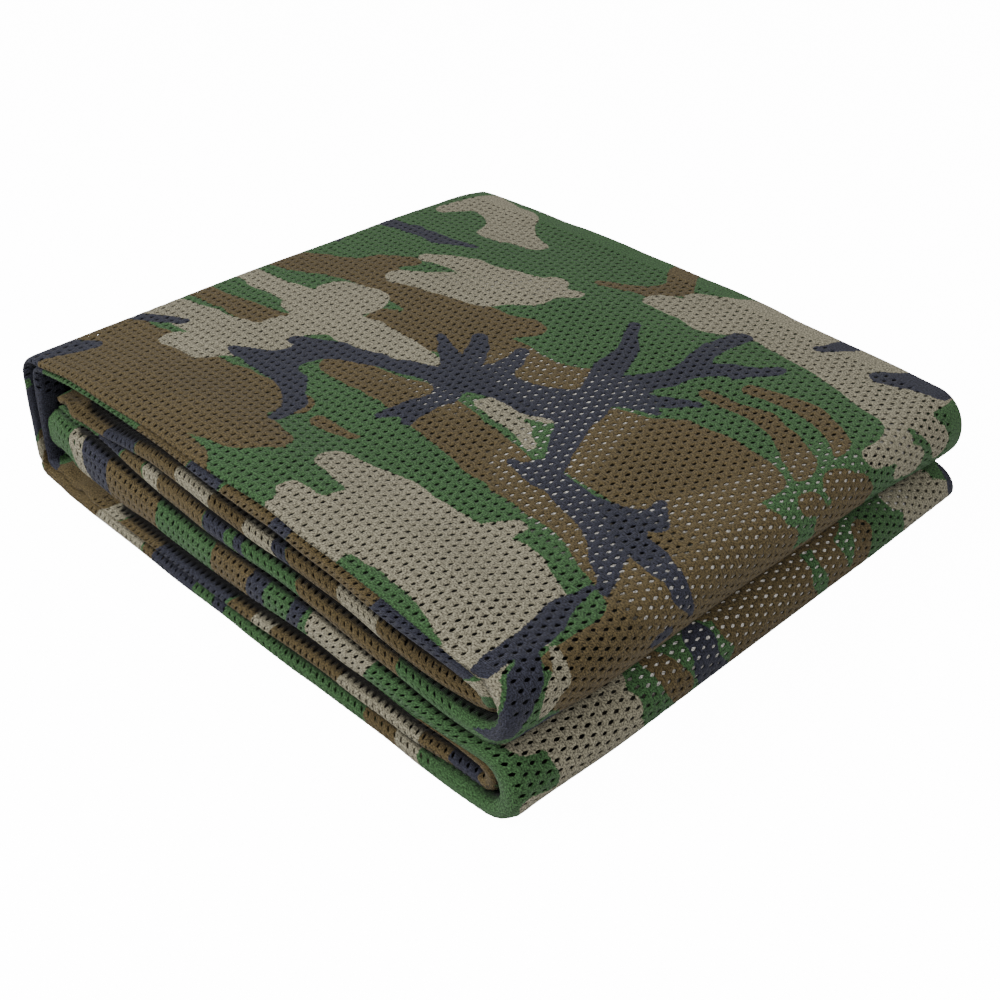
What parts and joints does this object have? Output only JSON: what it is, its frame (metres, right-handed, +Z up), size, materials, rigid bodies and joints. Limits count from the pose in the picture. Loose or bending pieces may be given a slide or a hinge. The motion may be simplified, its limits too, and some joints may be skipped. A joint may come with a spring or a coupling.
{
  "type": "folded camouflage net",
  "caption": "Woodland camouflage mesh cloth, folded into a flat rectangular pack with its fold ridges along the front edge.",
  "frame": {"origin": "middle of the pack's footprint, on the surface it lies on", "axes": "+X from the wrapped end to the two folded noses, +Y from the front edge with its fold ridges to the back edge, +Z up"},
  "size_m": [0.325, 0.2814, 0.0784],
  "materials": {
    "camouflage_mesh": "matt knitted polyester mesh with a printed woodland pattern"
  },
  "bodies": {
    "root": {"net": "camouflage_mesh"}
  },
  "joints": []
}
